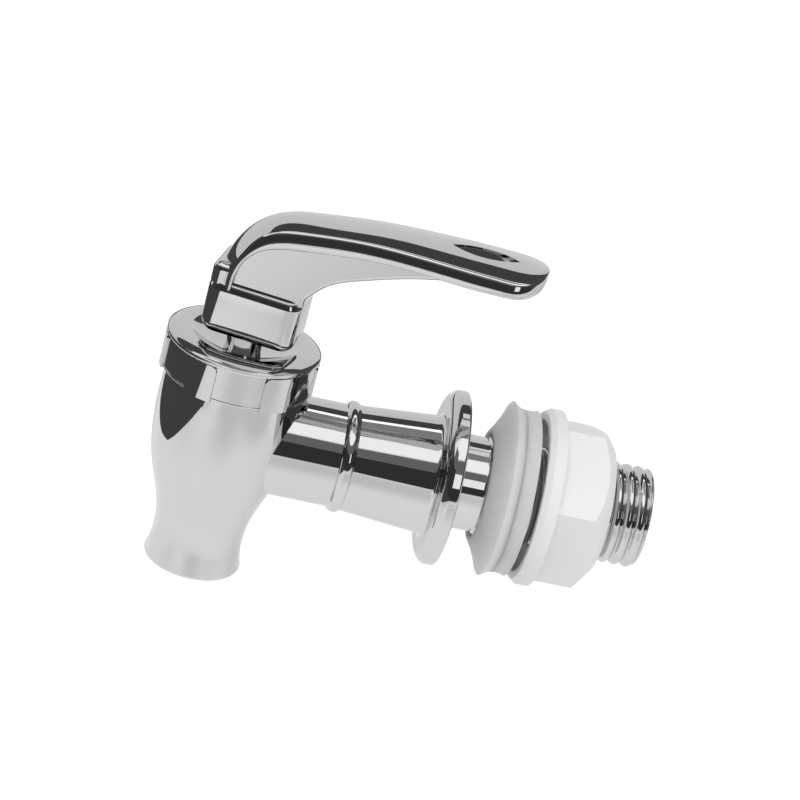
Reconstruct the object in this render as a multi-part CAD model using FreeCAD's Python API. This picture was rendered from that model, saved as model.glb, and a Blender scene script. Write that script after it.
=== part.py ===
import FreeCAD, Part
import math
import os

# Push-lever spigot for a beverage dispenser. Millimetres.
# Origin on the shank's axis at the flange's sealing face, +X along the shank
# into the container, +Z up. The barrel stands parallel to Z on the -X side.

# Shank: thread for the container's hole, collar, flange and neck
thread_r = 8.0
thread_end_x = 31.1
thread_chamfer = 0.9
collar_r = 7.5
collar_length = 4.4
inlet_r = 5.0
flange_r = 13.9
flange_thickness = 3.0
flange_rim = 1.5
flange_edge = 0.4
neck_r_at_flange = 9.35
neck_r_at_bead = 8.35
bead_r = 8.85
bead_from_flange = 17.2
bead_width = 2.2
shank_r = 8.15

# Barrel and nozzle, heights from the shank's axis
barrel_reach = 36.3
shoulder_step = 0.85
shoulder_z = 9.6
belly_bulge = 0.2
belly_z = 1.5
barrel_wall = 1.64
taper_top_z = -7.0
taper_flare = 0.7
taper_end_z = -12.3
nozzle_wall = 1.65
waist_z = -16.2
lip_flare = 0.55
outlet_z = -22.6
lip_edge = 0.6
outlet_r = 5.5
chamber_r = 8.0
seat_top_z = -6.5
seat_height = 4.0

# Bonnet, the screw cap with a dished top and the stem's guide tube
bonnet_bottom_z = 9.9
bonnet_top_z = 16.45
bonnet_plate = 1.5
bonnet_lip = 1.3
bonnet_lip_bulge = 0.28
bonnet_lip_edge = 0.4
neck_wall = 0.9
skirt_wall = 1.25
thread_play = 0.1
dish_rim_r = 8.4
dish_depth = 1.85
plug_depth = 5.75
plug_wall = 0.9
spring_seat_r = 4.6
spring_seat_rise = 2.2
guide_r = 2.8
pad_count = 6
pad_proud = 0.33
pad_angle = 23.0
pad_drop = 0.4
pad_below_top = 1.25
pad_corner = 0.9
pad_root = 0.4
pad_first_angle = -0.6
gasket_height = 1.0
gasket_width = 1.2
gasket_play = 0.1

# Stem, cup, spring and pin
stem_r = 2.0
running_play = 0.05
stem_flats = 3.0
stem_collar_r = 4.6
stem_collar = 1.0
stem_collar_z = -1.2
stem_tail = 4.8
pin_r = 1.0
pin_above_hub = 4.35
pin_wall = 1.1
cup_lip = 2.5
cup_lip_z = 5.6
cup_r = 5.7
cup_nose_r = 3.0
cup_nose = 2.6
cup_seat_gap = 0.12
cup_wipe = 0.08
spring_coil_r = 3.6
spring_wire_r = 0.4
spring_turns = 6

# Lever, in its own direction before it is swivelled about the barrel
lever_swivel = -14.0
lever_press = 20.0
cam_gap = 0.05
hub_over_bonnet = 0.95
hub_front = 8.0
hub_back = 6.8
hub_half = 5.5
hub_cheek = 7.35
hub_corner = 2.4
hub_edge = 1.9
hub_shoulder = 1.05
hub_shoulder_step = 0.45
hub_shoulder_edge = 0.35
post_rise = 2.95
post_depth = 5.2
slot_half_length = 4.4
slot_play = 0.1
slot_height = 7.85
web_half = 4.3
web_edge = 0.8
lever_reach = 41.6
lever_rise = 15.35
handle_half = 5.6
handle_crown = 2.4
handle_side = 1.9
handle_corner = 0.6
paddle_half = 7.2
paddle_crown = 1.15
paddle_side = 2.95
paddle_corner = 1.9
handle_nose = 5.6
handle_sections = 18
thumb_length = 10.4
thumb_from_tip = 4.5
thumb_half = 1.95
thumb_depth = 0.55

# Washers and lock nut on the thread
washer_play = 0.3
washer_start_x = 4.8
washer_ridge_r = 13.9
washer_ridge_x = 7.4
washer_small_r = 8.9
washer_waist_r = 13.0
washer_joint_x = 9.0
washer_end_x = 11.3
washer_end_r = 13.2
nut_start_x = 12.6
nut_flange_r = 14.05
nut_flange = 2.6
nut_flange_cone = 0.9
nut_flange_step = 0.65
nut_flats = 24.0
nut_length = 11.5
nut_chamfer = 3.0
nut_nose_r = 10.2
nut_recess_r = 12.1
nut_recess = 1.8
nut_corner_angle = 17.5
nut_play = 0.05

Vec = FreeCAD.Vector
X = Vec(1, 0, 0)
Y = Vec(0, 1, 0)
Z = Vec(0, 0, 1)
barrel_foot = Vec(-barrel_reach, 0, 0)

# Radii that follow from the chamber outwards, and heights from the bonnet's top
plug_r = chamber_r + gasket_play + gasket_width
neck_bore_r = plug_r + thread_play
barrel_neck_r = neck_bore_r + neck_wall
skirt_r = barrel_neck_r + thread_play
bonnet_r = skirt_r + skirt_wall
shoulder_r = bonnet_r - shoulder_step
belly_r = shoulder_r + belly_bulge
taper_top_r = chamber_r + barrel_wall
waist_r = outlet_r + nozzle_wall
taper_end_r = waist_r + taper_flare
lip_r = waist_r + lip_flare
plug_bottom_z = bonnet_top_z - plug_depth
ledge_z = plug_bottom_z - gasket_height
dish_floor_z = bonnet_top_z - dish_depth
hub_bottom_z = bonnet_top_z + hub_over_bonnet
hub_top_z = hub_bottom_z + hub_cheek + hub_shoulder
guide_top_z = hub_bottom_z - cam_gap
pin_z = hub_bottom_z + pin_above_hub
barrel_top_z = bonnet_top_z - bonnet_plate - 2 * thread_play


def line(a, b):
    return Part.LineSegment(a, b).toShape()


def arc(a, b, c):
    return Part.Arc(a, b, c).toShape()


def curve(points):
    spline = Part.BSplineCurve()
    spline.interpolate(points)
    return spline.toShape()


def at_barrel(r, z):
    """A point of the barrel's section, r from its axis, in the XZ plane."""
    return Vec(r - barrel_reach, 0, z)


def on_shank(x, r):
    """A point of the shank's section, r from its axis, in the XZ plane."""
    return Vec(x, 0, r)


def turned(edges, foot, axis):
    """The solid that a closed section makes when it turns about an axis."""
    face = Part.Face(Part.Wire(edges))
    return face.revolve(foot, axis, 360)


def turned_polygon(points, foot, axis):
    closed = points + points[:1]
    edges = [line(a, b) for a, b in zip(closed, closed[1:])]
    return turned(edges, foot, axis)


def upright(r, low, high):
    """A round bar about the barrel's axis."""
    return Part.makeCylinder(r, high - low, barrel_foot + Z * low, Z)


def along_shank(r, start, end):
    """A round bar about the shank's axis."""
    return Part.makeCylinder(r, end - start, X * start, X)


def barrel_outline():
    inside = at_barrel(0, outlet_z)
    lip_inner = at_barrel(lip_r - lip_edge, outlet_z)
    lip_middle = at_barrel(lip_r - 0.3 * lip_edge, outlet_z + 0.3 * lip_edge)
    lip_outer = at_barrel(lip_r, outlet_z + lip_edge)
    side = [
        lip_outer,
        at_barrel(waist_r, waist_z),
        at_barrel(taper_end_r, taper_end_z),
        at_barrel(taper_top_r, taper_top_z),
        at_barrel(belly_r, belly_z),
        at_barrel(shoulder_r, shoulder_z),
    ]
    step = at_barrel(barrel_neck_r, shoulder_z)
    rim = at_barrel(barrel_neck_r, barrel_top_z)
    top = at_barrel(0, barrel_top_z)
    edges = [
        line(inside, lip_inner),
        arc(lip_inner, lip_middle, lip_outer),
        curve(side),
        line(side[-1], step),
        line(step, rim),
        line(rim, top),
        line(top, inside),
    ]
    return turned(edges, barrel_foot, Z)


def barrel_hollow():
    """Outlet, seat cone, chamber, gasket ledge and the neck's bore."""
    points = [
        at_barrel(0, outlet_z),
        at_barrel(outlet_r, outlet_z),
        at_barrel(outlet_r, seat_top_z - seat_height),
        at_barrel(chamber_r, seat_top_z),
        at_barrel(chamber_r, ledge_z),
        at_barrel(neck_bore_r, ledge_z),
        at_barrel(neck_bore_r, barrel_top_z),
        at_barrel(0, barrel_top_z),
    ]
    return turned_polygon(points, barrel_foot, Z)


def shank_outline():
    bead_left = -bead_from_flange - bead_width / 2
    bead_right = bead_left + bead_width
    face = -flange_thickness
    fillet = flange_thickness * 0.3
    p = [
        on_shank(-barrel_reach, 0),
        on_shank(-barrel_reach, shank_r),
        on_shank(bead_left, shank_r),
        on_shank(-bead_from_flange, bead_r),
        on_shank(bead_right, neck_r_at_bead),
        on_shank(face - fillet, neck_r_at_flange),
        on_shank(face - 0.3 * fillet, neck_r_at_flange + 0.3 * fillet),
        on_shank(face, neck_r_at_flange + fillet),
        on_shank(face, (flange_r + neck_r_at_flange + fillet) / 2),
        on_shank((face - flange_rim) * 0.55, flange_r - 0.22 * flange_thickness),
        on_shank(-flange_rim, flange_r),
        on_shank(-flange_edge, flange_r),
        on_shank(-0.3 * flange_edge, flange_r - 0.3 * flange_edge),
        on_shank(0, flange_r - flange_edge),
        on_shank(0, collar_r),
        on_shank(collar_length, collar_r),
        on_shank(collar_length + thread_r - collar_r, thread_r),
        on_shank(thread_end_x - thread_chamfer, thread_r),
        on_shank(thread_end_x, thread_r - thread_chamfer),
        on_shank(thread_end_x, 0),
    ]
    edges = [
        line(p[0], p[1]),
        line(p[1], p[2]),
        arc(p[2], p[3], p[4]),
        line(p[4], p[5]),
        arc(p[5], p[6], p[7]),
        line(p[7], p[8]),
        arc(p[8], p[9], p[10]),
        line(p[10], p[11]),
        arc(p[11], p[12], p[13]),
    ]
    edges += [line(a, b) for a, b in zip(p[13:], p[14:])]
    edges.append(line(p[-1], p[0]))
    return turned(edges, Vec(0, 0, 0), X)


def housing():
    """Barrel, nozzle, shank, flange and thread, moulded as one piece."""
    solid = barrel_outline().fuse(shank_outline())
    inlet = along_shank(inlet_r, -barrel_reach, thread_end_x)
    return solid.cut(barrel_hollow().fuse(inlet)).removeSplitter()


def grip_pad(angle):
    """One raised pad on the bonnet's side, with rounded upper corners."""
    outer_r = bonnet_r + pad_proud
    half = outer_r * math.sin(math.radians(pad_angle / 2))
    low = bonnet_bottom_z - pad_drop
    high = bonnet_top_z - pad_below_top
    c = pad_corner
    depth = bonnet_r - pad_root
    outline = Part.Wire([
        line(Vec(depth, -half, low), Vec(depth, half, low)),
        line(Vec(depth, half, low), Vec(depth, half, high - c)),
        arc(Vec(depth, half, high - c), Vec(depth, half - 0.3 * c, high - 0.3 * c), Vec(depth, half - c, high)),
        line(Vec(depth, half - c, high), Vec(depth, c - half, high)),
        arc(Vec(depth, c - half, high), Vec(depth, 0.3 * c - half, high - 0.3 * c), Vec(depth, -half, high - c)),
        line(Vec(depth, -half, high - c), Vec(depth, -half, low)),
    ])
    pad = Part.Face(outline).extrude(X * (outer_r - depth + 1))
    pad.rotate(Vec(0, 0, 0), Z, angle)
    pad.translate(barrel_foot)
    ring = upright(outer_r, low, high).cut(upright(depth, low, high))
    return pad.common(ring)


def bonnet():
    """Screw cap with a rolled lip, a dished top and the stem's guide tube."""
    lip_z = bonnet_top_z - bonnet_lip
    plate_z = bonnet_top_z - bonnet_plate
    stem_bore_r = stem_r + running_play
    lip = [
        at_barrel(bonnet_r, lip_z),
        at_barrel(bonnet_r + bonnet_lip_bulge, bonnet_top_z - 0.5 * bonnet_lip),
        at_barrel(bonnet_r - bonnet_lip_edge, bonnet_top_z),
    ]
    dish = [
        at_barrel(dish_rim_r, bonnet_top_z),
        at_barrel((dish_rim_r + guide_r) / 2, dish_floor_z + 0.3 * dish_depth),
        at_barrel(guide_r, dish_floor_z),
    ]
    inside = [
        dish[2],
        at_barrel(guide_r, guide_top_z),
        at_barrel(stem_bore_r, guide_top_z),
        at_barrel(stem_bore_r, plug_bottom_z),
        at_barrel(spring_seat_r, plug_bottom_z),
        at_barrel(spring_seat_r, plug_bottom_z + spring_seat_rise),
        at_barrel(plug_r - plug_wall, plug_bottom_z + spring_seat_rise),
        at_barrel(plug_r - plug_wall, plug_bottom_z),
        at_barrel(plug_r, plug_bottom_z),
        at_barrel(plug_r, plate_z),
        at_barrel(skirt_r, plate_z),
        at_barrel(skirt_r, bonnet_bottom_z),
        at_barrel(bonnet_r, bonnet_bottom_z),
        lip[0],
    ]
    edges = [arc(*lip), line(lip[2], dish[0]), arc(*dish)]
    edges += [line(p, q) for p, q in zip(inside, inside[1:])]
    solid = turned(edges, barrel_foot, Z)
    pads = [grip_pad(pad_first_angle + 360 * i / pad_count) for i in range(pad_count)]
    return solid.fuse(pads).removeSplitter()


def bonnet_gasket():
    """Flat ring squeezed between the barrel's ledge and the bonnet's plug."""
    ring = upright(plug_r, ledge_z, plug_bottom_z)
    return ring.cut(upright(chamber_r + gasket_play, ledge_z, plug_bottom_z))


def stem():
    """Valve rod: a round bar with flats and an eye for the pin, and a collar."""
    tail_z = stem_collar_z - stem_tail
    top_z = pin_z + pin_r + pin_wall
    rod = upright(stem_r, tail_z, top_z)
    collar = upright(stem_collar_r, stem_collar_z, stem_collar_z + stem_collar)
    lift = lever_lift()
    flats_z = hub_bottom_z - lift - 2 * running_play - cam_gap
    solid = rod.fuse(collar)
    side = stem_r * 2
    for way in (-1, 1):
        low = stem_flats / 2 if way > 0 else -stem_flats / 2 - side
        block = Part.makeBox(2 * side, side, top_z - flats_z, Vec(-side, low, flats_z))
        block.translate(barrel_foot)
        solid = solid.cut(swivelled(block))
    crown = Part.makeCylinder(pin_r + pin_wall, 2 * side, Vec(0, -side, pin_z), Y)
    crown = crown.fuse(Part.makeBox(2 * side, 2 * side, pin_z - tail_z, Vec(-side, -side, tail_z)))
    crown.translate(barrel_foot)
    wide = upright(stem_collar_r, tail_z, pin_z)
    solid = solid.common(swivelled(crown).fuse(wide))
    eye = Part.makeCylinder(pin_r + running_play / 2, 2 * side, Vec(0, -side, pin_z), Y)
    eye.translate(barrel_foot)
    return solid.cut(swivelled(eye))


def seat_cup():
    """Silicone cup: a lip that wipes the chamber, and a nose that closes the seat."""
    half_taper = (chamber_r - outlet_r) / seat_height
    nose_z = seat_top_z - cup_nose
    bottom_r = outlet_r + (nose_z - (seat_top_z - seat_height)) * half_taper
    slant = math.hypot(half_taper, 1)
    gap = cup_seat_gap * slant
    hollow_r = stem_collar_r + running_play
    points = [
        at_barrel(0, nose_z),
        at_barrel(bottom_r - gap, nose_z),
        at_barrel(chamber_r - gap - 0.6, seat_top_z - 0.6 / half_taper),
        at_barrel(cup_r, seat_top_z + 1.2),
        at_barrel(cup_r, cup_lip_z - 1.0),
        at_barrel(chamber_r - cup_wipe, cup_lip_z + 0.6),
        at_barrel(chamber_r - cup_wipe, cup_lip_z + 1.2),
        at_barrel(hollow_r + 1.2, cup_lip_z + cup_lip),
        at_barrel(hollow_r, cup_lip_z + cup_lip),
        at_barrel(hollow_r, stem_collar_z),
        at_barrel(stem_r + running_play, stem_collar_z),
        at_barrel(stem_r + running_play, stem_collar_z - stem_tail - running_play),
        at_barrel(0, stem_collar_z - stem_tail - running_play),
    ]
    return turned_polygon(points, barrel_foot, Z)


def return_spring():
    """Coil spring between the stem's collar and the bonnet's underside."""
    low = stem_collar_z + stem_collar + spring_wire_r + running_play
    high = plug_bottom_z - spring_wire_r - running_play
    height = high - low
    helix = Part.makeHelix(height / spring_turns, height, spring_coil_r)
    wire = Part.Wire([Part.Edge(Part.Circle(Vec(spring_coil_r, 0, 0), Y, spring_wire_r))])
    solid = Part.Wire(helix.Edges).makePipeShell([wire], True, True)
    solid.translate(barrel_foot + Z * low)
    return solid


def lever_lift():
    """How far the hub climbs on the guide tube's rim over the lever's press."""
    angle = math.radians(lever_press)
    return (pin_above_hub + guide_r * math.sin(angle)) / math.cos(angle) - pin_above_hub


def swivelled(shape):
    """Turns a shape from the X direction to where the lever points."""
    turned_shape = shape.copy()
    turned_shape.rotate(barrel_foot, Z, lever_swivel)
    return turned_shape


def handle_section(top, along, half, crown, side, corner):
    """A section across the handle: domed top, upright sides, rounded lower corners."""
    up = Vec(-along.z, 0, along.x)

    def point(y, drop):
        return top + Y * y - up * drop

    low = crown + side
    cut = 0.3 * corner
    left, left_foot = point(-half, crown), point(-half, low - corner)
    right, right_foot = point(half, crown), point(half, low - corner)
    left_base, right_base = point(corner - half, low), point(half - corner, low)
    return Part.Wire([
        arc(left, top, right),
        line(right, right_foot),
        arc(right_foot, point(half - cut, low - cut), right_base),
        line(right_base, left_base),
        arc(left_base, point(cut - half, low - cut), left_foot),
        line(left_foot, left),
    ])


def run_of_values(steps, values):
    """A smooth curve whose y gives a value for each step along the handle."""
    points = [Vec(t, v, 0) for t, v in zip(steps, values)]
    run = Part.BSplineCurve()
    run.interpolate(Points=points, Parameters=steps)
    return run


def above_hub(x, share):
    """A point x from the barrel's axis, at a share of the lever's rise over the hub."""
    return Vec(x, 0, hub_top_z + share * lever_rise)


def handle():
    """The swept top of the lever, from the hub's back over to the thumb end."""
    nose_x = lever_reach - handle_nose
    # x as a share of the reach, height as a share of the rise, then half width,
    # crown's height, side and lower corner
    stations = [
        (-0.142, -0.180, handle_half - 0.1, handle_crown, handle_side, handle_corner),
        (-0.139, 0.153, handle_half - 0.1, handle_crown, handle_side, handle_corner),
        (-0.103, 0.435, handle_half, handle_crown, handle_side, handle_corner),
        (-0.031, 0.690, handle_half, handle_crown, handle_side, handle_corner),
        (0.144, 0.857, handle_half + 0.1, handle_crown, handle_side, handle_corner),
        (0.356, 0.938, handle_half + 0.4, handle_crown - 0.4, handle_side, handle_corner),
        (0.565, 0.967, paddle_half - 0.6, paddle_crown + 0.45, handle_side, paddle_corner - 0.8),
        (nose_x / lever_reach - 0.072, 0.990, paddle_half, paddle_crown, paddle_side, paddle_corner),
        (nose_x / lever_reach, 0.997, paddle_half, paddle_crown, paddle_side, paddle_corner),
        (1.0, 1.0, paddle_half, paddle_crown, paddle_side, paddle_corner),
    ]
    crown_points = [above_hub(s[0] * lever_reach, s[1]) for s in stations]
    steps = [0.0]
    for a, b in zip(crown_points, crown_points[1:]):
        steps.append(steps[-1] + a.distanceToPoint(b))
    crown_line = Part.BSplineCurve()
    crown_line.interpolate(Points=crown_points, Parameters=steps)
    half_line, crown_height, side_height, corner_size = [
        run_of_values(steps, [s[i] for s in stations]) for i in (2, 3, 4, 5)
    ]
    nose_start = steps[-2]
    nose = steps[-1] - nose_start
    places = [nose_start * i / handle_sections for i in range(handle_sections)]
    places += [nose_start + nose * math.sin(math.radians(a)) for a in (0, 18, 36, 50, 62, 72, 80, 85)]
    wires = []
    for place in places:
        top = crown_line.value(place)
        along = crown_line.tangent(place)[0]
        half = half_line.value(place).y
        crown = crown_height.value(place).y
        side = side_height.value(place).y
        corner = corner_size.value(place).y
        if place > nose_start:
            u = (place - nose_start) / nose
            half *= (1 - u ** 2.5) ** 0.4
            depth = (1 - u ** 2.5) ** 0.5
            crown, side, corner = crown * depth, side * depth, corner * depth
        wires.append(handle_section(top, along, half, crown, side, corner))
    return Part.makeLoft(wires, True, False)


def web():
    """The deep rib under the handle, which carries it on the hub."""
    front = hub_front
    arm = lever_reach - hub_front
    under = [
        above_hub(front, 0.049),
        above_hub(front + 0.074 * arm, 0.238),
        above_hub(front + 0.223 * arm, 0.414),
        above_hub(front + 0.455 * arm, 0.603),
        above_hub(front + 0.634 * arm, 0.707),
    ]
    inner = [
        above_hub(front + 0.634 * arm, 0.811),
        above_hub(front + 0.247 * arm, 0.752),
        above_hub(front - 0.17 * arm, 0.622),
        above_hub(front - 0.289 * arm, 0.342),
        above_hub(2.5 - hub_back, -0.18),
        above_hub(front, -0.18),
    ]
    edges = [curve(under)]
    chain = [under[-1]] + inner + [under[0]]
    edges += [line(a, b) for a, b in zip(chain, chain[1:])]
    face = Part.Face(Part.Wire(edges))
    face.translate(Y * -web_half)
    solid = face.extrude(Y * (2 * web_half))
    lower = [e for e in solid.Edges if e.Length > 20 and abs(abs(e.CenterOfMass.y) - web_half) < 0.01]
    return solid.makeFillet(web_edge, lower)


def hub_outline(inset, z):
    """The hub's plan at a height, a rectangle with rounded corners, drawn in by an inset."""
    back, front, half = inset - hub_back, hub_front - inset, hub_half - inset
    c = hub_corner - inset
    cut = 0.2929 * c
    corners = [(front, half, -1, -1), (back, half, 1, -1), (back, -half, 1, 1), (front, -half, -1, 1)]
    arcs = []
    for x, y, in_x, in_y in corners:
        along_y = Vec(x, y + in_y * c, z)
        along_x = Vec(x + in_x * c, y, z)
        middle = Vec(x + in_x * cut, y + in_y * cut, z)
        ends = (along_y, along_x) if in_x * in_y > 0 else (along_x, along_y)
        arcs.append((ends[0], middle, ends[1]))
    edges = []
    for this, after in zip(arcs, arcs[1:] + arcs[:1]):
        edges += [arc(*this), line(this[2], after[0])]
    return Part.Wire(edges)


def hub():
    """Block with two cheeks that holds the pin, its sloped shoulder and the post behind."""
    low = hub_bottom_z
    cheek_z = low + hub_cheek
    block = Part.Face(hub_outline(0, low)).extrude(Z * hub_cheek)
    rim = [e for e in block.Edges if abs(e.CenterOfMass.z - low) < 0.01]
    block = block.makeFillet(hub_edge, rim)
    slope = Part.makeLoft(
        [hub_outline(0, cheek_z), hub_outline(hub_shoulder_step, hub_top_z)], True, True
    )
    rim = [e for e in slope.Edges if abs(e.CenterOfMass.z - hub_top_z) < 0.01]
    slope = slope.makeFillet(hub_shoulder_edge, rim)
    foot_z = low + 3
    post = Part.makeBox(
        post_depth, 2 * hub_half, hub_top_z + post_rise - foot_z, Vec(-hub_back, -hub_half, foot_z)
    )
    back_edges = [
        e for e in post.Edges
        if e.CenterOfMass.x < 0.1 - hub_back and e.CenterOfMass.z > foot_z + 0.1
    ]
    post = post.makeFillet(hub_corner - 0.1, back_edges)
    return block.fuse([slope, post])


def thumb_dish():
    """Lens-shaped recess with pointed ends in the top of the thumb end."""
    end_x = lever_reach - thumb_from_tip
    middle_x = end_x - thumb_length / 2
    top = above_hub(0, 1.0).z
    floor_z = top - 0.2 - thumb_depth
    start = Vec(end_x - thumb_length, 0, floor_z)
    end = Vec(end_x, 0, floor_z)
    outline = Part.Wire([
        arc(start, Vec(middle_x, thumb_half, floor_z), end),
        arc(end, Vec(middle_x, -thumb_half, floor_z), start),
    ])
    return Part.Face(outline).extrude(Z * (top + 0.4 - floor_z))


def lever():
    """Handle, web and hub moulded as one piece, slotted for the stem's eye."""
    solid = handle().fuse([web(), hub()])
    slot_half = stem_flats / 2 + slot_play
    slot = Part.makeBox(
        2 * slot_half_length,
        2 * slot_half,
        slot_height + 1,
        Vec(-slot_half_length, -slot_half, hub_bottom_z - 1),
    )
    bore_start = -pin_blind_end() - running_play
    bore = Part.makeCylinder(
        pin_r + running_play, hub_half - bore_start + 1, Vec(0, bore_start, pin_z), Y
    )
    solid = solid.cut([slot, bore, thumb_dish()])
    solid.translate(barrel_foot)
    return swivelled(solid)


def pin_blind_end():
    """The pin's blind end stops inside the cheek that the front view shows."""
    return hub_half - pin_wall


def pivot_pin():
    """Cross pin, pushed in from the far cheek."""
    end = -pin_blind_end()
    pin = Part.makeCylinder(pin_r, hub_half - 0.3 - end, Vec(0, end, pin_z), Y)
    pin.translate(barrel_foot)
    return swivelled(pin)


def tapered_washer():
    """Silicone washer with a cone towards the wall and a sharp ridge."""
    bore = thread_r + washer_play
    small = on_shank(washer_start_x, washer_small_r)
    ridge = on_shank(washer_ridge_x, washer_ridge_r)
    flank = on_shank(
        (washer_start_x + washer_ridge_x) / 2 + 0.2, (washer_small_r + washer_ridge_r) / 2
    )
    waist = on_shank(washer_joint_x, washer_waist_r)
    hollow = on_shank(
        (washer_ridge_x + washer_joint_x) / 2, (washer_ridge_r + washer_waist_r) / 2 - 0.12
    )
    edges = [
        line(on_shank(washer_start_x, bore), small),
        arc(small, flank, ridge),
        arc(ridge, hollow, waist),
        line(waist, on_shank(washer_joint_x, bore)),
        line(on_shank(washer_joint_x, bore), on_shank(washer_start_x, bore)),
    ]
    return turned(edges, Vec(0, 0, 0), X)


def flat_washer():
    """Silicone washer beside the nut, a little wider at the nut's side."""
    bore = thread_r + washer_play
    start = on_shank(washer_joint_x, washer_waist_r)
    end = on_shank(washer_end_x, washer_end_r)
    middle = on_shank(
        (washer_joint_x + washer_end_x) / 2, (washer_waist_r + washer_end_r) / 2 - 0.15
    )
    edges = [
        line(on_shank(washer_joint_x, bore), start),
        arc(start, middle, end),
        line(end, on_shank(washer_end_x, bore)),
        line(on_shank(washer_end_x, bore), on_shank(washer_joint_x, bore)),
    ]
    return turned(edges, Vec(0, 0, 0), X)


def lock_nut():
    """Flanged hexagon nut with a recess in its face and a coned nose."""
    hex_start = nut_start_x + nut_flange
    nut_end = nut_start_x + nut_length
    corner_r = nut_flats / 2 / math.cos(math.pi / 6)
    corners = []
    for i in range(6):
        angle = math.radians(nut_corner_angle + 60 * i)
        corners.append(Vec(hex_start, -corner_r * math.cos(angle), corner_r * math.sin(angle)))
    closed = corners + corners[:1]
    outline = Part.Wire([line(a, b) for a, b in zip(closed, closed[1:])])
    prism = Part.Face(outline).extrude(X * (nut_end - hex_start))
    cone_foot_r = corner_r + 0.1
    envelope = along_shank(cone_foot_r, hex_start, nut_end - nut_chamfer)
    envelope = envelope.fuse(
        Part.makeCone(cone_foot_r, nut_nose_r, nut_chamfer, X * (nut_end - nut_chamfer), X)
    )
    cone_end = nut_start_x + nut_flange_cone
    flange = Part.makeCone(
        nut_flange_r - nut_flange_step, nut_flange_r, nut_flange_cone, X * nut_start_x, X
    )
    flange = flange.fuse(along_shank(nut_flange_r, cone_end, hex_start))
    solid = flange.fuse(prism.common(envelope))
    bore = along_shank(thread_r + nut_play, nut_start_x, nut_end)
    recess = along_shank(nut_recess_r, nut_start_x, nut_start_x + nut_recess)
    return solid.cut([bore, recess]).removeSplitter()


pieces = {
    "housing": housing(),
    "bonnet": bonnet(),
    "bonnet_gasket": bonnet_gasket(),
    "seat_cup": seat_cup(),
    "stem": stem(),
    "return_spring": return_spring(),
    "pivot_pin": pivot_pin(),
    "lever": lever(),
    "tapered_washer": tapered_washer(),
    "flat_washer": flat_washer(),
    "lock_nut": lock_nut(),
}

os.makedirs("parts", exist_ok=True)
for name, shape in pieces.items():
    solid = shape.Solids[0]
    box = solid.BoundBox
    print(
        f"{name}: solids {len(shape.Solids)}, valid {shape.isValid()}, volume {shape.Volume:.1f}, "
        f"x {box.XMin:.2f} {box.XMax:.2f}, y {box.YMin:.2f} {box.YMax:.2f}, z {box.ZMin:.2f} {box.ZMax:.2f}"
    )
    solid.exportStep(f"parts/{name}.step")
print(f"lift {lever_lift():.3f} mm, pin height {pin_z:.2f}, hub bottom {hub_bottom_z:.2f}")
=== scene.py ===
import math
import bmesh
import bpy
from mathutils import Matrix, Vector


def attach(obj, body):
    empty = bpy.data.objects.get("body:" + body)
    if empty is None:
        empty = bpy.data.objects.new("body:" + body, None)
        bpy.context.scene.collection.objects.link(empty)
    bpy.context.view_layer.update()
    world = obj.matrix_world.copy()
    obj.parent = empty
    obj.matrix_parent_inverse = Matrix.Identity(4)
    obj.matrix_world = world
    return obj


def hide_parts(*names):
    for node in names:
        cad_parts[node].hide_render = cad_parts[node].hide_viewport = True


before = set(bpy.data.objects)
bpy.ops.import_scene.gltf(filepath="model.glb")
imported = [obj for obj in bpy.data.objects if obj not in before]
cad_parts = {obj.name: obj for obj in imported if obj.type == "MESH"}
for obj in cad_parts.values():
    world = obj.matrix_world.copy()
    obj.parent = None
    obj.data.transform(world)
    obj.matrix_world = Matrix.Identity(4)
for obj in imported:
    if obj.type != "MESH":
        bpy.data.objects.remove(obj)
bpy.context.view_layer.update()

MM = 0.001
WHITE = (1, 1, 1, 1)
BARREL_X = -36.3

# Lengths too small to see, in millimetres: for tests and slopes, and for merging points
TINY = 0.01
MERGE = 0.002

# The studio, in millimetres and as strengths
FLOOR_Z = -70.0
FLOOR_HALF = 3000.0
FLOOR_LIFT_MIRROR = 0.4
FLOOR_LIFT_CAMERA = 0.45
WORLD_LIGHT = 0.62
CARD_DISTANCE = 1200.0
CARD_ROWS = 6
TABLE_Z = -23.5
TABLE_EDGE_X = -45.0

# The shank's thread, in millimetres
THREAD_START = 4.4
THREAD_END = 31.1
THREAD_CREST = 8.0
THREAD_DEPTH = 0.6
THREAD_LEAD = 1.9
THREAD_PHASE = 0.2
THREAD_RUN_IN = 0.9
THREAD_NOSE_R = 7.1
COLLAR_R = 7.5

# A face of the shank is an end face if at least this share of its normal lies along the shank
END_FACE = 0.95

# The nozzle's flare: below its top, corner normals that rise more than the tilt are laid down to it,
# apart from those of flat faces, which rise more than the last value
FLARE_TOP = -15.0
FLARE_TILT = 0.09
FLARE_FLAT = 0.9

# The bonnet's rolled lip and the bead on its lower edge, in millimetres
BONNET_R = 11.65
BONNET_TOP = 16.45
BONNET_BOTTOM = 9.9
BONNET_LIP = 1.3
BONNET_LIP_CUT = 0.5
BONNET_BULGE = 0.28
BONNET_ROLL = 3.0
BONNET_ROLL_DROP = 0.85
DISH_RIM_R = 8.4
BEAD_PROUD = 0.1
BEAD_SUNK = 0.02
BEAD_HALF = 0.2
BEAD_RAISED = 0.16

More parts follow.
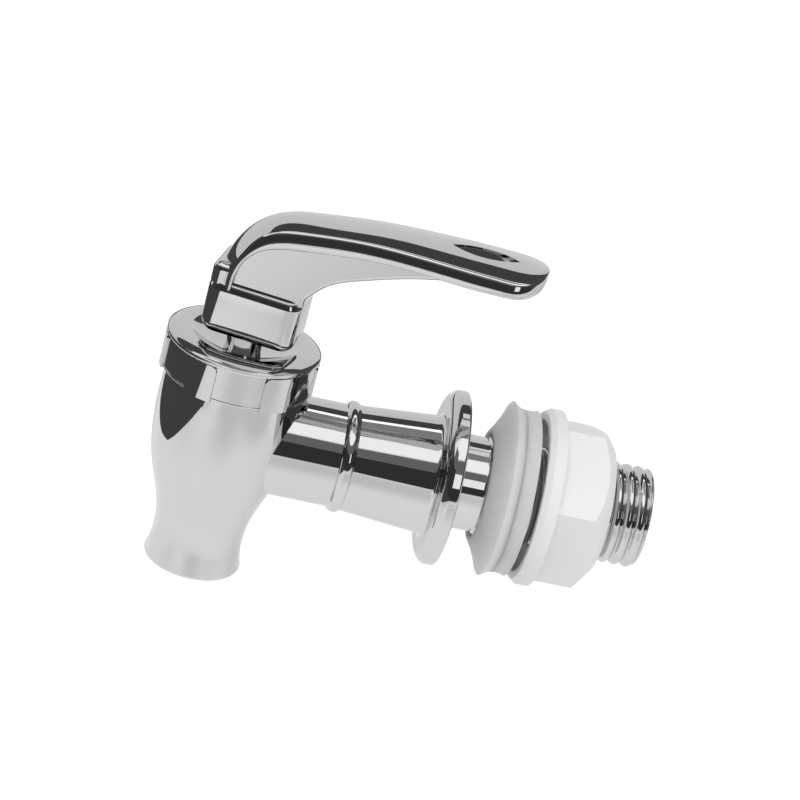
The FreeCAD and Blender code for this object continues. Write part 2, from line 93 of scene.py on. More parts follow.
# The lever, in millimetres and in its own direction, before it is swivelled about the barrel
SWIVEL = math.radians(-14.0)
REACH = 41.6
RISE = 15.35
HUB_LOW = 17.4
HUB_CHEEK = 7.35
HUB_SHOULDER = 1.05
HUB_STEP = 0.8
HUB_STEP_EDGE = 0.45
HUB_FRONT = 8.0
HUB_BACK = 6.8
HUB_HALF = 5.5
HUB_CORNER = 2.4
HUB_EDGE = 1.9
HUB_TOP = HUB_LOW + HUB_CHEEK + HUB_SHOULDER
HUB_ROOT = 0.4
SLOT_REACH = 4.4
SLOT_HALF = 1.6
SLOT_CORNER = 0.05
SLOT_HEIGHT = 7.85
PIN_HEIGHT = 4.35
PIN_BORE_R = 1.05
PIN_START = -4.45
POST_BACK = -6.7
POST_FRONT = -2.9
POST_HALF = 5.0
POST_CORNER = 1.5
POST_ROLL = 1.3
POST_RISE = 2.95
WEB_HALF = 4.3
WEB_EDGE = 0.8
NOSE = 5.6
NOSE_POWER = 2.5
NOSE_END_DEPTH = 0.5
SHARP = math.radians(32.0)

# The handle's section: lengths in millimetres, tilts in degrees from the crown
CROWN_SHARE = 0.56
CROWN_TILT = 10
SLOPE_TILT = 17
DOME_ON_CROWN = 0.8
RIM = 0.75
ROLL = 0.6
ROLL_TILT = 63
RAKE_SHARE = 0.34
RAKE_LOST_TO_DOME = 0.03
RAKE_LEAST = 0.3
RAKE_TILT = 80
SIDE_LEAST = 0.05
FOOT = 0.45

# The thumb dish, in millimetres; the last value is its floor's lean per millimetre across
THUMB_FROM_TIP = 4.5
THUMB_LENGTH = 10.4
THUMB_HALF = 1.95
THUMB_DEPTH = 1.0
THUMB_CLEAR = 1.5
THUMB_LEAN = 0.22


# Node maths: a socket that takes Python's operators, and one maker for nodes.

class Wire:
    def __init__(self, make, socket):
        self.make = make
        self.socket = socket

    def maths(self, operation, *values):
        return self.make("ShaderNodeMath", {"operation": operation}, dict(enumerate(values)))

    def __add__(self, other):
        return self.maths("ADD", self, other)

    def __sub__(self, other):
        return self.maths("SUBTRACT", self, other)

    def __rsub__(self, other):
        return self.maths("SUBTRACT", other, self)

    def __mul__(self, other):
        return self.maths("MULTIPLY", self, other)

    def __truediv__(self, other):
        return self.maths("DIVIDE", self, other)

    def smooth(self, low, high):
        """0 below low, 1 above high, and a soft step between them."""
        settings = {"interpolation_type": "SMOOTHSTEP"}
        return self.make("ShaderNodeMapRange", settings, {"Value": self, "From Min": low, "From Max": high})

    def larger(self, other):
        return self.maths("MAXIMUM", self, other)

    def smaller(self, other):
        return self.maths("MINIMUM", self, other)


class Maker:
    """The one way in which the nodes of a tree are made."""

    def __init__(self, tree):
        self.tree = tree
        self.tree.nodes.clear()

    def make(self, kind, settings=None, inputs=None, output=0):
        node = self.tree.nodes.new(kind)
        for key, value in (settings or {}).items():
            setattr(node, key, value)
        for key, value in (inputs or {}).items():
            if isinstance(value, Wire):
                self.tree.links.new(value.socket, node.inputs[key])
            else:
                node.inputs[key].default_value = value
        return Wire(self.make, node.outputs[output]) if node.outputs else None

    def ray(self, kind):
        return self.make("ShaderNodeLightPath", output=kind)


class Finish(Maker):
    """A material, with one surface shader if it is named."""

    def __init__(self, name, surface=None, **constants):
        self.material = bpy.data.materials.new(name)
        self.material.use_nodes = True
        super().__init__(self.material.node_tree)
        if surface:
            sockets = {key.replace("_", " "): value for key, value in constants.items()}
            shader = self.make(surface, {}, sockets)
            self.shader = shader.socket.node
            self.show(shader)

    def show(self, surface):
        self.make("ShaderNodeOutputMaterial", {}, {"Surface": surface})

    def feed(self, socket, wire):
        self.tree.links.new(wire.socket, self.shader.inputs[socket])

    def noise(self, scale, detail):
        place = self.make("ShaderNodeTexCoord", output="Object")
        return self.make("ShaderNodeTexNoise", {}, {"Vector": place, "Scale": scale, "Detail": detail})

    def tones(self, scale, detail, dark, light):
        """A base colour that wanders softly between two tones."""
        tone = self.make("ShaderNodeMix", {"data_type": "RGBA"}, {
            "Factor": self.noise(scale, detail), 6: (*dark, 1), 7: (*light, 1),
        }, output=2)
        self.feed("Base Color", tone)

    def bump(self, height, strength, distance):
        normal = self.make("ShaderNodeBump", {}, {
            "Strength": strength, "Distance": distance * MM, "Height": height,
        })
        self.feed("Normal", normal)


# Finishes

def chrome_finish():
    """Plating over moulded plastic: a mirror with faint waves and a little haze."""
    chrome = Finish("chrome_plating", "ShaderNodeBsdfPrincipled", Metallic=1.0)
    chrome.tones(60.0, 3.0, (0.56, 0.565, 0.57), (0.6, 0.603, 0.605))
    haze = chrome.noise(220.0, 4.0).smooth(0.55, 0.8)
    chrome.feed("Roughness", haze * 0.03 + 0.03)
    chrome.bump(chrome.noise(110.0, 1.0), 0.12, 0.05)
    return chrome.material


def silicone_finish():
    """Milky translucent silicone with a satin skin."""
    silicone = Finish(
        "clear_silicone", "ShaderNodeBsdfPrincipled",
        IOR=1.41, Transmission_Weight=0.12, Subsurface_Weight=0.8, Subsurface_Scale=0.004,
        Subsurface_Radius=(1.0, 1.0, 1.0), Specular_IOR_Level=0.4,
    )
    silicone.tones(90.0, 3.0, (0.84, 0.85, 0.85), (0.9, 0.905, 0.905))
    silicone.feed("Roughness", silicone.noise(300.0, 2.0) * 0.12 + 0.4)
    silicone.bump(silicone.noise(700.0, 2.0), 0.1, 0.05)
    return silicone.material


def nut_finish():
    """Natural white moulded plastic, a little waxy."""
    plastic = Finish(
        "white_nut_plastic", "ShaderNodeBsdfPrincipled",
        IOR=1.49, Subsurface_Weight=0.25, Subsurface_Scale=0.002,
        Subsurface_Radius=(1.0, 1.0, 1.0), Specular_IOR_Level=0.35,
    )
    plastic.tones(70.0, 2.0, (0.84, 0.85, 0.85), (0.88, 0.885, 0.88))
    plastic.feed("Roughness", plastic.noise(400.0, 3.0) * 0.15 + 0.33)
    plastic.bump(plastic.noise(500.0, 3.0), 0.15, 0.06)
    return plastic.material


def steel_finish():
    """Drawn steel of the pin and the spring."""
    steel = Finish("drawn_steel", "ShaderNodeBsdfPrincipled", Metallic=1.0)
    steel.tones(300.0, 3.0, (0.45, 0.45, 0.46), (0.6, 0.6, 0.61))
    steel.feed("Roughness", steel.noise(500.0, 3.0) * 0.2 + 0.2)
    steel.bump(steel.noise(900.0, 2.0), 0.2, 0.03)
    return steel.material


def dress(node, material):
    """A CAD node takes a finish."""
    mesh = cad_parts[node].data
    mesh.materials.clear()
    mesh.materials.append(material)


# The thread: a rule for the radius at each place along and round the shank

class Recipe(Maker):
    """A geometry tree with named inputs, run once on an empty mesh."""

    def __init__(self, name):
        super().__init__(bpy.data.node_groups.new(name, "GeometryNodeTree"))
        self.name = name
        self.values = {}
        self.tree.interface.new_socket("Geometry", in_out="OUTPUT", socket_type="NodeSocketGeometry")
        self.source = self.make("NodeGroupInput").socket.node

    def given(self, name, value):
        """A named input of the tree, with the value that this run gives it."""
        whole = isinstance(value, int)
        kind = "NodeSocketInt" if whole else "NodeSocketFloat"
        item = self.tree.interface.new_socket(name, in_out="INPUT", socket_type=kind)
        self.values[item.identifier] = value
        return Wire(self.make, self.source.outputs[name])

    def result(self, geometry, material):
        """Runs the tree and gives back a plain mesh."""
        real = self.make("GeometryNodeRealizeInstances", {}, {0: geometry})
        dressed = self.make("GeometryNodeSetMaterial", {}, {"Geometry": real, "Material": material})
        self.make("NodeGroupOutput", {}, {0: dressed})
        holder = bpy.data.objects.new(self.name, bpy.data.meshes.new(self.name))
        bpy.context.scene.collection.objects.link(holder)
        modifier = holder.modifiers.new(self.name, "NODES")
        modifier.node_group = self.tree
        for identifier, value in self.values.items():
            modifier[identifier] = value
        ready = holder.evaluated_get(bpy.context.evaluated_depsgraph_get())
        mesh = bpy.data.meshes.new_from_object(ready)
        bpy.data.objects.remove(holder)
        return mesh


def thread_skin(material):
    """The outside of the threaded tail, from the collar to the chamfered nose."""
    recipe = Recipe("thread_rule")
    start = recipe.given("start", THREAD_START * MM)
    length = recipe.given("length", (THREAD_END - THREAD_START) * MM)
    crest = recipe.given("crest radius", THREAD_CREST * MM)
    depth = recipe.given("depth", THREAD_DEPTH * MM)
    lead = recipe.given("lead", THREAD_LEAD * MM)
    phase = recipe.given("phase", THREAD_PHASE * MM)
    collar = recipe.given("collar radius", COLLAR_R * MM)
    nose = recipe.given("nose radius", THREAD_NOSE_R * MM)
    along = recipe.given("steps along", 300)
    around = recipe.given("steps around", 181)
    grid = recipe.make("GeometryNodeMeshGrid", {}, {
        "Size X": length, "Size Y": 1.0, "Vertices X": along, "Vertices Y": around,
    })
    place = recipe.make("GeometryNodeInputPosition")
    split = recipe.make("ShaderNodeSeparateXYZ", {}, {0: place})
    turn = Wire(recipe.make, split.socket.node.outputs[1]) + 0.5
    run = split + length * 0.5
    x = run + start
    angle = turn * (2 * math.pi)
    wave = ((x - phase) / lead - turn) * math.pi
    ridge = wave.maths("ABSOLUTE", wave.maths("COSINE", wave))
    thread = crest - depth * (1.0 - ridge)
    rounding = crest - nose
    past = ((run - (length - rounding)) / rounding).larger(0.0).smaller(1.0)
    left_over = past.maths("SQRT", (1.0 - past * past).larger(0.0))
    radius = thread.smaller(nose + rounding * left_over)
    begin = run.smooth(0.0, THREAD_RUN_IN * MM)
    radius = collar + (radius.smaller(collar + run) - collar) * begin
    ring = recipe.make("ShaderNodeCombineXYZ", {}, {
        0: x,
        1: radius * angle.maths("COSINE", angle),
        2: radius * angle.maths("SINE", angle),
    })
    moved = recipe.make("GeometryNodeSetPosition", {}, {"Geometry": grid, "Position": ring})
    closed = recipe.make("GeometryNodeMergeByDistance", {}, {"Geometry": moved, "Distance": MERGE * MM})
    smooth = recipe.make("GeometryNodeSetShadeSmooth", {}, {0: closed})
    return recipe.result(smooth, material)


def on_plain_tail(point):
    """Whether a corner of the CAD housing lies on the plain cylinder that the thread replaces."""
    x, r = point.x / MM, math.hypot(point.y, point.z) / MM
    return x > THREAD_START - TINY and r > THREAD_NOSE_R - TINY


def gentle_flare(point, normal):
    """The nozzle's lip mirrors as a gentler flare would, so that it shows the pale floor."""
    flares = point.z / MM <= FLARE_TOP and FLARE_TILT <= normal.z < FLARE_FLAT
    if not flares:
        return normal
    flat = Vector((normal.x, normal.y, 0)).normalized() * math.sqrt(1 - FLARE_TILT ** 2)
    return Vector((flat.x, flat.y, FLARE_TILT))


def reskinned(name, node, dropped, skins, material, shade=None):
    """A CAD node's mesh without the faces that are dropped, and with new skins in their place.

    Shade, if it is given, changes the corner normals of the faces that stay."""
    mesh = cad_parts[node].data
    points, faces, normals = [], [], []
    for face in mesh.polygons:
        corners = [mesh.vertices[v].co for v in face.vertices]
        if dropped(face, corners):
            continue
        faces.append(list(range(len(points), len(points) + len(corners))))
        points += [c.copy() for c in corners]
        for i, v in zip(face.loop_indices, face.vertices):
            normal = mesh.corner_normals[i].vector.copy()
            normals.append(shade(mesh.vertices[v].co, normal) if shade else normal)
    for skin in skins:
        base = len(points)
        points += [v.co.copy() for v in skin.vertices]
        for face in skin.polygons:
            faces.append([base + v for v in face.vertices])
            normals += [skin.corner_normals[i].vector.copy() for i in face.loop_indices]
    whole = bpy.data.meshes.new(name)
    whole.from_pydata(points, [], faces)
    whole.shade_smooth()
    whole.normals_split_custom_set(normals)
    whole.materials.append(material)
    piece = bpy.data.objects.new(name, whole)
    bpy.context.scene.collection.objects.link(piece)
    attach(piece, "housing")
    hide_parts(node)


def threaded_housing(material):
    """The housing with its plain tail changed for the thread."""
    def on_tail(face, corners):
        return all(on_plain_tail(c) for c in corners) and abs(face.normal.x) < END_FACE

    reskinned("threaded_housing", "housing", on_tail, [thread_skin(material)], material, gentle_flare)


def turned_skin(name, profile):
    """A skin turned about the barrel's axis, from its outer or lower end, with faces outward."""
    count = 160
    points, faces = [], []
    for r, z in profile:
        for i in range(count):
            turn = 2 * math.pi * i / count
            points.append(Vector((BARREL_X + r * math.cos(turn), r * math.sin(turn), z)) * MM)
    for k in range(len(profile) - 1):
        for i in range(count):
            j = (i + 1) % count
            faces.append([k * count + i, k * count + j, (k + 1) * count + j, (k + 1) * count + i])
    mesh = bpy.data.meshes.new(name)
    mesh.from_pydata(points, [], faces)
    mesh.shade_smooth()
    return mesh


def rolled_bonnet(material):
    """The bonnet with a wide rolled lip and a fine bead on its lower edge."""
    def on_lip(face, corners):
        high = max(c.z for c in corners) / MM > BONNET_TOP - BONNET_LIP_CUT
        inmost = min(math.hypot(c.x / MM - BARREL_X, c.y / MM) for c in corners)
        return high and inmost > DISH_RIM_R - TINY

    bulge_r = BONNET_R + BONNET_BULGE + TINY
    bulge_z = BONNET_TOP - BONNET_ROLL_DROP
    low = bulge_z - (BONNET_TOP - BONNET_LIP)
    lip = []
    for a in range(0, 91, 15):
        turn = math.radians(a)
        lip.append((BONNET_R + (bulge_r - BONNET_R) * math.sin(turn), bulge_z - low * math.cos(turn)))
    for a in range(3, 91, 3):
        turn = math.radians(a)
        inward = BONNET_ROLL * (1 - math.cos(turn))
        lip.append((bulge_r - inward, bulge_z + BONNET_ROLL_DROP * math.sin(turn)))
    lip.append((DISH_RIM_R, BONNET_TOP))
    bead = []
    for a in range(0, 181, 15):
        turn = math.radians(a)
        out, rise = BEAD_PROUD * math.sin(turn) - BEAD_SUNK, BEAD_RAISED - BEAD_HALF * math.cos(turn)
        bead.append((BONNET_R + out, BONNET_BOTTOM + rise))
    skins = [turned_skin("bonnet_lip", lip), turned_skin("bonnet_edge", bead)]
    reskinned("rolled_bonnet", "bonnet", on_lip, skins, material)


# The lever: swept handle with rolled edges, deep web, hub and post

def natural_spline(steps, values):
    """A smooth curve through values at rising steps."""
    count = len(steps)
    gaps = [b - a for a, b in zip(steps, steps[1:])]
    bend = [0.0] * count
    share = [0.0] * count
    for i in range(1, count - 1):
        pull = 6 * ((values[i + 1] - values[i]) / gaps[i] - (values[i] - values[i - 1]) / gaps[i - 1])
        base = 2 * (gaps[i - 1] + gaps[i]) - gaps[i - 1] * share[i - 1]
        share[i] = gaps[i] / base
        bend[i] = (pull - gaps[i - 1] * bend[i - 1]) / base
    for i in range(count - 2, 0, -1):
        bend[i] -= share[i] * bend[i + 1]

    def at(step):
        i = 0
        while i < count - 2 and steps[i + 1] < step:
            i += 1
        a, b = (steps[i + 1] - step) / gaps[i], (step - steps[i]) / gaps[i]
        bow = (a ** 3 - a) * bend[i] + (b ** 3 - b) * bend[i + 1]
        return a * values[i] + b * values[i + 1] + bow * gaps[i] ** 2 / 6

    return at


def smooth_path(points):
    """The steps of a smooth path through points, and its place and left-hand normal at a step."""
    steps = [0.0]
    for a, b in zip(points, points[1:]):
        steps.append(steps[-1] + math.dist(a, b))
    along_x, along_z = [natural_spline(steps, [p[i] for p in points]) for i in (0, 1)]

    def at(step):
        dx = along_x(step + TINY) - along_x(step - TINY)
        dz = along_z(step + TINY) - along_z(step - TINY)
        size = math.hypot(dx, dz)
        return along_x(step), along_z(step), -dz / size, dx / size

    return steps, at


def rim_profile(half, depth, dome):
    """Half of a section across the handle, out and down from the crown's middle.

    Each stretch is an arc that runs on from the one before: the domed crown, the slope
    beside it, the rolled edge, the raked side and the rounded foot. The dome, in degrees,
    steepens the crown and the slope."""
    places = [(0.0, 0.0)]
    tilt = 0.0

    def stretch(length, end, count):
        nonlocal tilt
        for i in range(count):
            angle = math.radians(tilt + (end - tilt) * (i + 0.5) / count)
            out, down = places[-1]
            places.append((out + length / count * math.cos(angle), down + length / count * math.sin(angle)))
        tilt = end

    crown = CROWN_SHARE * half
    stretch(crown, CROWN_TILT + DOME_ON_CROWN * dome, 10)
    stretch(half - RIM - crown, SLOPE_TILT + dome, 8)
    stretch(ROLL, ROLL_TILT, 10)
    stretch(max(RAKE_LEAST, RAKE_SHARE * depth - RAKE_LOST_TO_DOME * dome), RAKE_TILT, 8)
    stretch(max(SIDE_LEAST, depth - FOOT - places[-1][1]), 90, 4)
    stretch(FOOT * math.pi / 2, 180, 6)
    widest = max(out for out, down in places)
    deepest = places[-1][1]
    places.append((0.0, deepest))
    return [(out * half / widest, down * depth / deepest) for out, down in places]


def at_rest(x, y, z):
    """From the lever's own direction, in millimetres, to its place at rest."""
    c, s = math.cos(SWIVEL), math.sin(SWIVEL)
    return Vector((BARREL_X + x * c - y * s, x * s + y * c, z)) * MM


def shell(name, rings):
    """A closed mesh from rings of as many points each, with both ends capped."""
    count = len(rings[0])
    points = [p for ring in rings for p in ring]
    faces = [list(range(count)), [len(points) - count + i for i in range(count)]]
    for k in range(len(rings) - 1):
        for i in range(count):
            j = (i + 1) % count
            faces.append([k * count + i, k * count + j, (k + 1) * count + j, (k + 1) * count + i])
    mesh = bpy.data.meshes.new(name)
    mesh.from_pydata(points, [], faces)
    body = bmesh.new()
    body.from_mesh(mesh)
    bmesh.ops.recalc_face_normals(body, faces=body.faces)
    body.to_mesh(mesh)
    body.free()
    piece = bpy.data.objects.new(name, mesh)
    bpy.context.scene.collection.objects.link(piece)
    return piece


def carve(piece, cutters):
    """Takes cutters out of a piece and drops them."""
    for cutter in cutters:
        modifier = piece.modifiers.new(cutter.name, "BOOLEAN")
        modifier.operation = "DIFFERENCE"
        modifier.solver = "EXACT"
        modifier.object = cutter
    ready = piece.evaluated_get(bpy.context.evaluated_depsgraph_get())
    mesh = bpy.data.meshes.new_from_object(ready)
    piece.modifiers.clear()
    piece.data = mesh
    for cutter in cutters:
        bpy.data.objects.remove(cutter)


def handle():
    """The swept top of the lever with the pointed-oval thumb dish."""
    nose_share = 1 - NOSE / REACH
    # x as a share of the reach, height as a share of the rise, half width, depth and dome
    stations = [
        (-0.142, -0.180, 5.42, 2.95, 28),
        (-0.139, 0.153, 5.42, 2.95, 28),
        (-0.103, 0.430, 5.6, 3.1, 26),
        (-0.023, 0.669, 5.6, 3.6, 12),
        (0.147, 0.810, 5.7, 3.64, 2),
        (0.356, 0.902, 6.0, 3.4, 0),
        (0.565, 0.955, 6.6, 3.38, 0),
        (nose_share - 0.072, 0.990, 7.19, 3.6, 0),
        (nose_share, 0.997, 7.19, 3.5, 0),
        (1.0, 1.0, 7.19, 3.5, 0),
    ]
    steps, path = smooth_path([(s[0] * REACH, HUB_TOP + s[1] * RISE) for s in stations])
    half_line, depth_line, dome_line = [natural_spline(steps, [s[i] for s in stations]) for i in (2, 3, 4)]
    # Even places along the handle, then closer ones round the nose
    nose_start, nose = steps[-2], steps[-1] - steps[-2]
    places = [nose_start * i / 70 for i in range(70)]
    places += [nose_start + nose * math.sin(math.radians(a)) for a in [*range(0, 86, 5), 88, 89.3]]
    rings = []
    for place in places:
        x, z, up_x, up_z = path(place)
        past = max(0.0, (place - nose_start) / nose)
        left_over = 1 - past ** NOSE_POWER
        wide = left_over ** (1 / NOSE_POWER)
        deep = NOSE_END_DEPTH + (1 - NOSE_END_DEPTH) * left_over ** 0.5
        profile = rim_profile(half_line(place), depth_line(place), max(0.0, dome_line(place)))
        ring = profile + [(-out, down) for out, down in profile[-2:0:-1]]
        rings.append([
            at_rest(x - up_x * down * deep, out * wide, z - up_z * down * deep) for out, down in ring
        ])
    piece = shell("handle", rings)
    carve(piece, [thumb_cutter()])
    return piece


def thumb_cutter():
    """A lens with pointed ends, whose floor slopes down to the lever's right side."""
    middle = REACH - THUMB_FROM_TIP - THUMB_LENGTH / 2
    floor_z, top_z = HUB_TOP + RISE - THUMB_DEPTH, HUB_TOP + RISE + THUMB_CLEAR
    bulge = (THUMB_LENGTH ** 2 / 4 + THUMB_HALF ** 2) / (2 * THUMB_HALF)
    sweep = math.asin(THUMB_LENGTH / 2 / bulge)
    outline = []
    for side in (1, -1):
        for i in range(16):
            turn = side * (sweep - 2 * sweep * i / 16)
            x = middle + bulge * math.sin(turn)
            outline.append((x, side * (bulge * (math.cos(turn) - 1) + THUMB_HALF)))
    low = [at_rest(x, y, floor_z + THUMB_LEAN * y) for x, y in outline]
    high = [at_rest(x, y, top_z) for x, y in outline]
    return shell("thumb_cutter", [low, high])


def rounded_box(back, front, half, corner, z):
    """A ring of points round a rectangle with rounded corners."""
    ring = []
    for x, y, start in ((front, half, 0), (back, half, 90), (back, -half, 180), (front, -half, 270)):
        mid_x = x - corner if x == front else x + corner
        mid_y = y - corner if y > 0 else y + corner
        for i in range(9):
            turn = math.radians(start + 90 * i / 8)
            ring.append(at_rest(mid_x + corner * math.cos(turn), mid_y + corner * math.sin(turn), z))
    return ring


def hub():
    """Block with two cheeks round the stem's eye, slotted, with a raked shoulder."""
    def ring(inset, z):
        return rounded_box(inset - HUB_BACK, HUB_FRONT - inset, HUB_HALF - inset, HUB_CORNER - inset, z)

    rings = []
    for a in range(0, 91, 10):
        turn = math.radians(a)
        rings.append(ring(HUB_EDGE * (1 - math.sin(turn)), HUB_LOW + HUB_EDGE * (1 - math.cos(turn))))
    # A soft break between the cheek and the shoulder, then the shoulder's rounded edge
    for inset, above in ((0, -0.2), (0.03, 0), (0.08, 0.15)):
        rings.append(ring(inset, HUB_LOW + HUB_CHEEK + above))
    for a in range(20, 91, 14):
        turn = math.radians(a)
        drop = HUB_STEP_EDGE * (1 - math.sin(turn))
        rings.append(ring(HUB_STEP - HUB_STEP_EDGE * math.cos(turn), HUB_TOP - drop))
    piece = shell("hub", rings)
    slot = shell("slot", [
        rounded_box(-SLOT_REACH, SLOT_REACH, SLOT_HALF, SLOT_CORNER, z)
        for z in (HUB_LOW - 1, HUB_LOW + SLOT_HEIGHT)
    ])
    bore_z = HUB_LOW + PIN_HEIGHT
    turns = [math.radians(10 * i) for i in range(36)]
    bore = shell("bore", [
        [at_rest(PIN_BORE_R * math.cos(t), y, bore_z + PIN_BORE_R * math.sin(t)) for t in turns]
        for y in (PIN_START, HUB_HALF + 1)
    ])
    carve(piece, [slot, bore])
    return piece


def post():
    """The block behind the handle's foot, with rounded corners and top."""
    def ring(inset, z):
        return rounded_box(POST_BACK + inset, POST_FRONT - inset, POST_HALF - inset, POST_CORNER - inset, z)

    rings = [ring(0, HUB_TOP - HUB_ROOT)]
    for a in range(0, 91, 10):
        turn = math.radians(a)
        drop = POST_ROLL * (1 - math.sin(turn))
        rings.append(ring(POST_ROLL * (1 - math.cos(turn)), HUB_TOP + POST_RISE - drop))
    return shell("post", rings)


def web():
    """The deep rib under the handle."""
    arm = REACH - HUB_FRONT
    # The under-curve, as shares of the arm and of the rise, and the line hidden inside the handle
    under_curve = [(0.0, 0.049), (0.074, 0.238), (0.223, 0.414), (0.455, 0.603), (0.634, 0.707)]
    hidden_shares = [0.0, 0.22, 0.45, 0.7, 1.0]
    hidden_line = [(-4.6, HUB_TOP - HUB_ROOT), (-3.2, 30.4), (1.6, 35.6), (16.3, 37.5), (29.3, 38.4)]
    steps, path = smooth_path([(HUB_FRONT + x * arm, HUB_TOP + z * RISE) for x, z in under_curve])
    hidden_x, hidden_z = [natural_spline(hidden_shares, [p[i] for p in hidden_line]) for i in (0, 1)]
    edge = []
    for a in range(90, -1, -15):
        turn = math.radians(a)
        edge.append((WEB_EDGE * (1 - math.cos(turn)), WEB_HALF - WEB_EDGE * (1 - math.sin(turn))))
    rings = []
    count = 60
    for i in range(count + 1):
        x, z, in_x, in_z = path(i / count * steps[-1])
        top_x, top_z = hidden_x(i / count), hidden_z(i / count)
        ring = [at_rest(top_x, WEB_HALF, top_z)]
        ring += [at_rest(x + in_x * o, y, z + in_z * o) for o, y in edge]
        ring += [at_rest(x + in_x * o, -y, z + in_z * o) for o, y in reversed(edge)]
        ring += [at_rest(top_x, -WEB_HALF, top_z)]
        rings.append(ring)
    foot = [Vector((p.x, p.y, (HUB_TOP - HUB_ROOT) * MM)) for p in rings[0]]
    return shell("web", [foot] + rings)


def dressed_lever(material):
    """One chromed moulding in place of the CAD lever."""
    whole = bmesh.new()
    for piece in (handle(), web(), hub(), post()):
        whole.from_mesh(piece.data)
        bpy.data.objects.remove(piece)
    mesh = bpy.data.meshes.new("chromed_lever")
    whole.to_mesh(mesh)
    whole.free()
    mesh.shade_smooth()
    mesh.set_sharp_from_angle(angle=SHARP)
    mesh.materials.append(material)
    piece = bpy.data.objects.new("chromed_lever", mesh)
    bpy.context.scene.collection.objects.link(piece)
    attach(piece, "lever")
    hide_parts("lever")


# Studio: cards by direction, which only mirrors see, a white floor and soft lamps

def direction(azimuth, elevation):
    a, e = math.radians(azimuth), math.radians(elevation)
    return Vector((math.cos(a) * math.cos(e), math.sin(a) * math.cos(e), math.sin(e)))


def glow(name, level):
    """A plain emitter of this brightness."""
    return Finish(name, "ShaderNodeEmission", Color=(level, level, level, 1), Strength=1.0).material


def staged(name, points, faces, material, mirrors_only=True):
    """A mesh of the studio, which isn't part of the object."""
    mesh = bpy.data.meshes.new(name)
    mesh.from_pydata([Vector(p) * MM for p in points], [], faces)
    mesh.materials.append(material)
    piece = bpy.data.objects.new(name, mesh)
    bpy.context.scene.collection.objects.link(piece)
    if mirrors_only:
        piece.visible_camera = False
        piece.visible_diffuse = False
        piece.visible_transmission = False
        piece.visible_volume_scatter = False
        piece.visible_shadow = False


def card(name, edge, level, step=5.0):
    """A studio card that spans, at each azimuth of its edge, a run of elevations."""
    points, faces = [], []
    for (a0, low0, high0), (a1, low1, high1) in zip(edge, edge[1:]):
        count = max(1, round(abs(a1 - a0) / step))
        for i in range(count):
            for j in range(CARD_ROWS):
                corner = []
                for di, dj in ((0, 0), (1, 0), (1, 1), (0, 1)):
                    t = (i + di) / count
                    low, high = low0 + t * (low1 - low0), high0 + t * (high1 - high0)
                    way = direction(a0 + t * (a1 - a0), low + (j + dj) / CARD_ROWS * (high - low))
                    corner.append(len(points))
                    points.append(Vector((BARREL_X, 0, 0)) + way * CARD_DISTANCE)
                faces.append(corner)
    staged(name, points, faces, glow(name + "_shade", level))


def table_edge():
    """Dark ground past the pale table's edge, which the barrel's left side mirrors."""
    near, far, half = BARREL_X + TABLE_EDGE_X, -1500, 900
    front_slope, back_slope = 0.41, -0.05
    edge = [(near - front_slope * half, -half), (near, 0), (near + back_slope * half, half)]
    beyond = [(far, half), (far, 0), (far, -half)]
    points = [(x, y, TABLE_Z) for x, y in edge + beyond]
    staged("table_edge", points, [(0, 1, 4, 5), (1, 2, 3, 4)], glow("table_edge_shade", 0.075))


def near_card():
    """A small white card near the thread, which the collar and the thread mirror."""
    left, right, y, low, high = 41, 130, -300, 78, 190
    points = [(left, y, low), (right, y, low), (right, y, high), (left, y, high)]
    staged("near_card", points, [(0, 1, 2, 3)], glow("near_card_shade", 1.3))


def floor():
    """A pale floor that shows white and keeps the object's soft shadow, with soft patches for the mirrors."""
    pale = Finish("pale_floor")
    mirror_ray = pale.ray("Is Glossy Ray").larger(pale.ray("Is Transmission Ray"))
    paper = pale.make("ShaderNodeBsdfDiffuse", {}, {"Color": (0.8, 0.8, 0.8, 1)})
    patches = pale.noise(5.5, 0.0).smooth(0.3, 0.68) * 0.8 + 0.1
    sheen = pale.make("ShaderNodeEmission", {}, {"Color": patches, "Strength": FLOOR_LIFT_MIRROR})
    shine = pale.make("ShaderNodeEmission", {}, {"Color": WHITE, "Strength": FLOOR_LIFT_CAMERA})
    for_mirror = pale.make("ShaderNodeAddShader", {}, {0: paper, 1: sheen})
    for_camera = pale.make("ShaderNodeAddShader", {}, {0: paper, 1: shine})
    mixed = pale.make("ShaderNodeMixShader", {}, {0: mirror_ray, 1: paper, 2: for_mirror})
    pale.show(pale.make("ShaderNodeMixShader", {}, {0: pale.ray("Is Camera Ray"), 1: mixed, 2: for_camera}))
    half = FLOOR_HALF
    points = [(x, y, FLOOR_Z) for x, y in ((-half, -half), (half, -half), (half, half), (-half, half))]
    staged("studio_floor", points, [(0, 1, 2, 3)], pale.material, mirrors_only=False)


def surround():
    """White all round for the camera and the mirrors, softer as a light."""
    world = bpy.data.worlds.new("studio")
    bpy.context.scene.world = world
    world.use_nodes = True
    sky = Maker(world.node_tree)
    seen = sky.ray("Is Camera Ray").larger(sky.ray("Is Glossy Ray")).larger(sky.ray("Is Transmission Ray"))
    soft = sky.make("ShaderNodeBackground", {}, {"Color": WHITE, "Strength": WORLD_LIGHT})
    white = sky.make("ShaderNodeBackground", {}, {"Color": WHITE, "Strength": 1.0})
    mixed = sky.make("ShaderNodeMixShader", {}, {0: seen, 1: soft, 2: white})
    sky.make("ShaderNodeOutputWorld", {}, {"Surface": mixed})


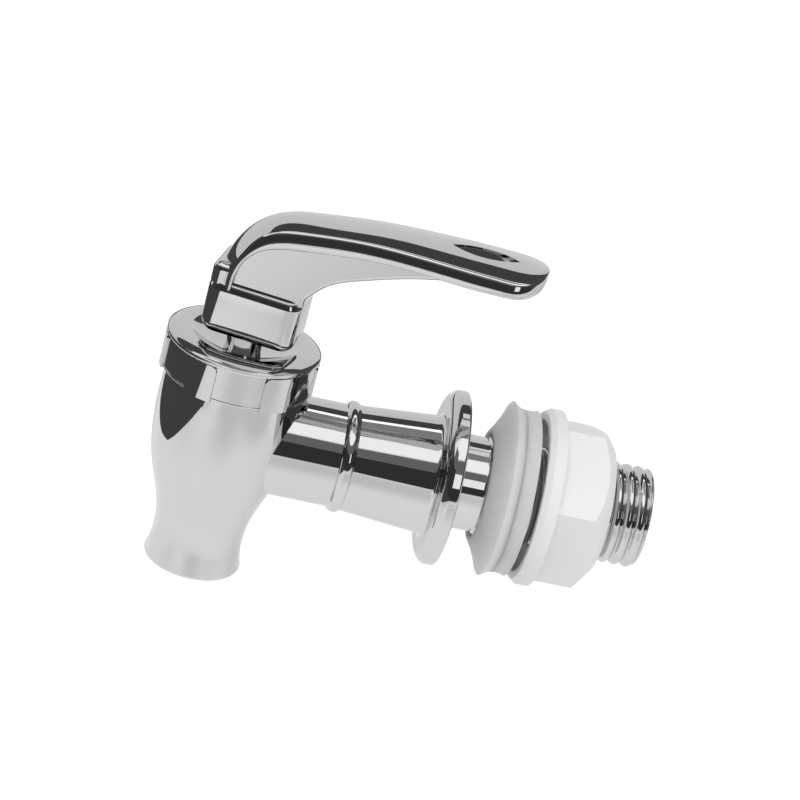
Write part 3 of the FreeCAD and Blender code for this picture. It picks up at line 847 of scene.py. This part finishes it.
def lamp(name, azimuth, elevation, distance, size, power):
    """A square soft light that faces the origin; lengths in metres, power in watts."""
    data = bpy.data.lights.new(name, "AREA")
    data.shape = "SQUARE"
    data.size = size
    data.energy = power
    piece = bpy.data.objects.new(name, data)
    way = direction(azimuth, elevation)
    piece.location = way * distance
    piece.rotation_euler = way.to_track_quat("Z", "Y").to_euler()
    piece.visible_glossy = False
    piece.visible_camera = False
    bpy.context.scene.collection.objects.link(piece)


def camera():
    """The photograph's camera, fitted to the circles of the cap, flange, nut and nozzle."""
    right = Vector((0.96952, -0.03462, 0.24256))
    up = Vector((-0.20548, 0.42435, 0.88188))
    back = Vector((-0.13346, -0.90484, 0.40430))
    data = bpy.data.cameras.new("camera")
    data.sensor_width = 36.0
    data.lens = 127.64
    data.clip_start = 0.02
    data.clip_end = 20.0
    piece = bpy.data.objects.new("camera", data)
    turn = Matrix((right, up, back)).transposed().to_4x4()
    piece.matrix_world = Matrix.Translation((-0.069147, -0.395148, 0.187925)) @ turn
    bpy.context.scene.collection.objects.link(piece)
    bpy.context.scene.camera = piece


camera()
surround()
floor()
table_edge()
near_card()

# Each card has azimuths, each with its lowest and highest elevation, and then its brightness
card("front_flag", [(-165, -2.5, 30), (-20, -2.5, 30)], 0.045)
card("front_flag_top", [(-165, 30, 47), (-20, 30, 50)], 0.19)
card("front_softbox", [(-165, 49, 76), (-20, 52, 76)], 1.42)
card("ceiling", [(-180, 76, 89.9), (180, 76, 89.9)], 0.31, step=10.0)
card("back_ceiling", [(60, 65, 76), (155, 65, 76)], 0.31)
card("strip_light", [(70, 58.5, 64.5), (110, 58.5, 64.5)], 1.9)
card("back_flag", [(60, 40, 58), (84, 40, 58), (88, 38, 58), (122, 37, 58), (165, 35, 52)], 0.075)
card("back_wall", [(60, -2.5, 40), (84, -2.5, 40), (88, -2.5, 38), (122, -2.5, 37), (155, -2.5, 35)], 0.83)
card("left_softbox", [(168, 31, 60), (195, 31, 60)], 1.2)
card("left_flag", [(155, 10, 34), (165, -2.5, 30), (195, -2.5, 30)], 0.06)
card("right_flag", [(-20, -2.5, 60), (60, 0, 60)], 0.09)

lamp("key_lamp", azimuth=-135, elevation=55, distance=0.9, size=0.6, power=2.3)
lamp("fill_lamp", azimuth=-40, elevation=40, distance=1.0, size=0.7, power=2.0)

chrome = chrome_finish()
silicone = silicone_finish()
steel = steel_finish()
for node in ("housing", "bonnet", "stem", "lever"):
    dress(node, chrome)
threaded_housing(chrome)
rolled_bonnet(chrome)
dressed_lever(chrome)
for node in ("bonnet_gasket", "seat_cup", "tapered_washer", "flat_washer"):
    dress(node, silicone)
for node in ("return_spring", "pivot_pin"):
    dress(node, steel)
dress("lock_nut", nut_finish())

bpy.context.scene.view_settings.view_transform = "Standard"
